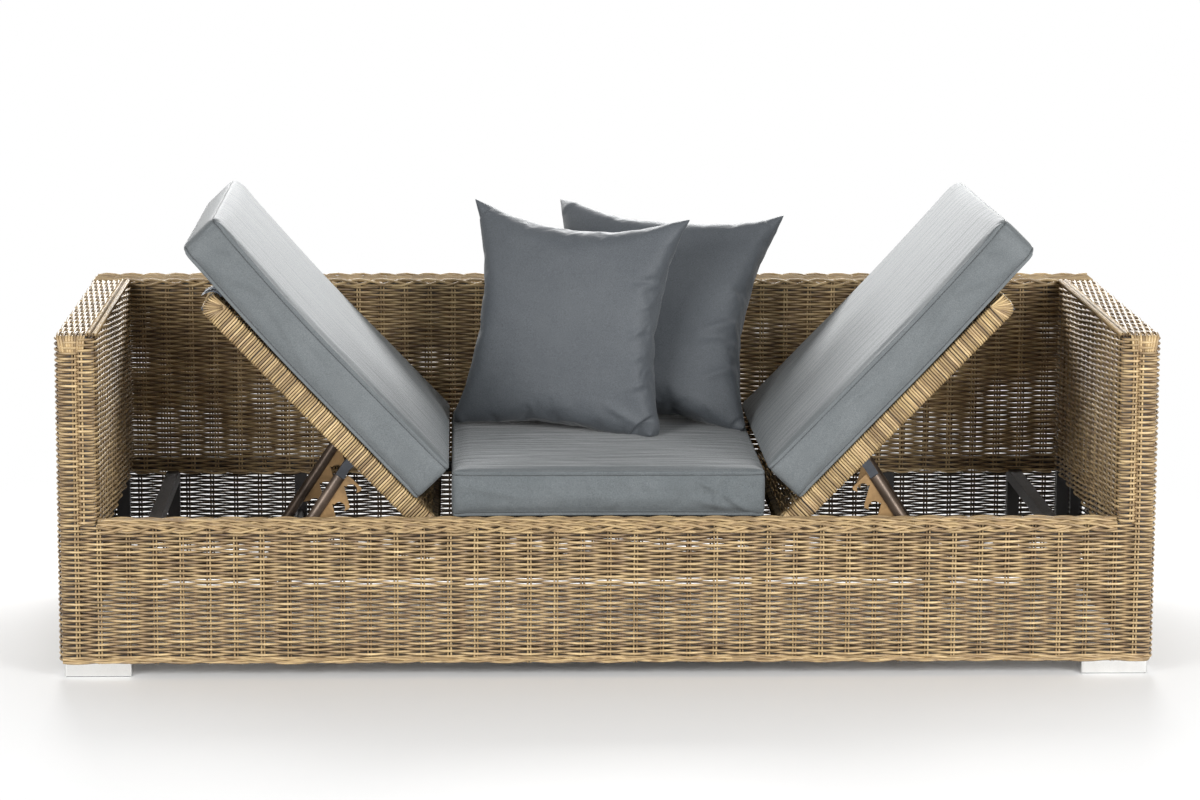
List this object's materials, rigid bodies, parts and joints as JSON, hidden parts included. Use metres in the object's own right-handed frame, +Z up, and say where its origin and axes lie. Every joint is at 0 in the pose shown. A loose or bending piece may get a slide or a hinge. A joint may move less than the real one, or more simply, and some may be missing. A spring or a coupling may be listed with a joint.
{
  "type": "lounge sofa",
  "caption": "Woven wicker garden sofa with adjustable ratchet end panels, loose cushions and scatter pillows",
  "frame": {"origin": "on the floor, under the middle of the sofa's bounding box", "axes": "+X along the sofa to the viewer's right, +Y from the open front to the back, +Z up"},
  "size_m": [2.1, 0.88, 0.8701],
  "materials": {
    "wicker": "satin",
    "frame_paint": "satin",
    "cushion_fabric": "matte",
    "pillow_fabric": "matte",
    "strap_webbing": "matte",
    "foot_shell": "polished",
    "glide_plastic": "matte",
    "hardware": "satin",
    "comb_plate": "satin",
    "strut_tube": "satin",
    "fitting": "satin"
  },
  "bodies": {
    "base": {"apron_top_border": "wicker", "back_inner_weave": "wicker", "back_left_foot": "foot_shell", "back_outer_weave": "wicker", "back_right_foot": "foot_shell", "back_seat_rail": "frame_paint", "back_top_border": "wicker", "back_top_frame": "frame_paint", "base_posts": "frame_paint", "bottom_back_rail": "frame_paint", "bottom_front_rail": "frame_paint", "bottom_rear_beam": "frame_paint", "bottom_side_rails": "frame_paint", "catch_rods": "frame_paint", "centre_seat_frame": "frame_paint", "centre_seat_weave": "wicker", "centre_seat_wraps": "wicker", "corner_posts": "frame_paint", "foot_bolts": "hardware", "foot_glides": "glide_plastic", "front_apron_weave": "wicker", "front_left_foot": "foot_shell", "front_right_foot": "foot_shell", "front_seat_rail": "frame_paint", "hinge_lugs": "frame_paint", "hinge_pins": "hardware", "hinge_rails": "frame_paint", "inner_posts": "frame_paint", "left_arm_front_weave": "wicker", "left_arm_inner_weave": "wicker", "left_arm_outer_weave": "wicker", "left_arm_top_frame": "frame_paint", "left_arm_top_weave": "wicker", "right_arm_front_weave": "wicker", "right_arm_inner_weave": "wicker", "right_arm_outer_weave": "wicker", "right_arm_top_frame": "frame_paint", "right_arm_top_weave": "wicker", "side_rails": "frame_paint"},
    "left_panel": {"left_panel_frame": "frame_paint", "left_panel_weave": "wicker", "left_panel_edge_wraps": "wicker", "left_strut_brackets": "fitting", "left_panel_strap": "strap_webbing"},
    "left_strut": {"left_strut_bail": "strut_tube", "left_strut_fittings": "fitting", "left_comb_plates": "comb_plate"},
    "left_panel_cushion": {"left_cushion": "cushion_fabric"},
    "right_panel": {"right_panel_frame": "frame_paint", "right_panel_weave": "wicker", "right_panel_edge_wraps": "wicker", "right_strut_brackets": "fitting"},
    "right_strut": {"right_strut_bail": "strut_tube", "right_strut_fittings": "fitting", "right_comb_plates": "comb_plate"},
    "right_panel_cushion": {"right_cushion": "cushion_fabric"},
    "centre_seat_cushion": {"centre_cushion": "cushion_fabric"},
    "front_scatter_pillow": {"front_pillow": "pillow_fabric"},
    "rear_scatter_pillow": {"rear_pillow": "pillow_fabric"}
  },
  "joints": [
    {"name": "left_panel_hinge", "type": "hinge", "parent": "base", "child": "left_panel", "pos_m": [-0.344, 0, 0.2815], "axis": [0, -1, 0], "range_deg": [0, 46]},
    {"name": "left_strut_hinge", "type": "hinge", "parent": "left_panel", "child": "left_strut", "pos_m": [-0.50188, 0, 0.39317], "axis": [0, -1, 0], "range_deg": [-94.8, 0]},
    {"name": "left_cushion_slide", "type": "slide", "parent": "left_panel", "child": "left_panel_cushion", "axis": [-0.6947, 0, 0.7193], "range_m": [-0.0971, 0]},
    {"name": "right_panel_hinge", "type": "hinge", "parent": "base", "child": "right_panel", "pos_m": [0.344, 0, 0.2815], "axis": [0, 1, 0], "range_deg": [0, 46]},
    {"name": "right_strut_hinge", "type": "hinge", "parent": "right_panel", "child": "right_strut", "pos_m": [0.50188, 0, 0.39317], "axis": [0, 1, 0], "range_deg": [-94.8, 0]},
    {"name": "right_cushion_slide", "type": "slide", "parent": "right_panel", "child": "right_panel_cushion", "axis": [0.6947, 0, 0.7193], "range_m": [-0.0971, 0]},
    {"name": "centre_cushion_lift", "type": "slide", "parent": "base", "child": "centre_seat_cushion", "axis": [0, 0, 1], "range_m": [0, 0.5]},
    {"name": "front_pillow_lift", "type": "slide", "parent": "centre_seat_cushion", "child": "front_scatter_pillow", "axis": [0.059, 0.194, 0.9792], "range_m": [0, 0.45]},
    {"name": "rear_pillow_lift", "type": "slide", "parent": "centre_seat_cushion", "child": "rear_scatter_pillow", "axis": [0.087, 0.3641, 0.9273], "range_m": [0, 0.45]}
  ],
  "couplings": [
    {"joint": "left_strut_hinge", "follows": "left_panel_hinge", "ratio": -2.0587},
    {"joint": "left_cushion_slide", "follows": "left_panel_hinge", "m_per_rad": -0.12064},
    {"joint": "right_strut_hinge", "follows": "right_panel_hinge", "ratio": -2.0587},
    {"joint": "right_cushion_slide", "follows": "right_panel_hinge", "m_per_rad": -0.12064}
  ]
}
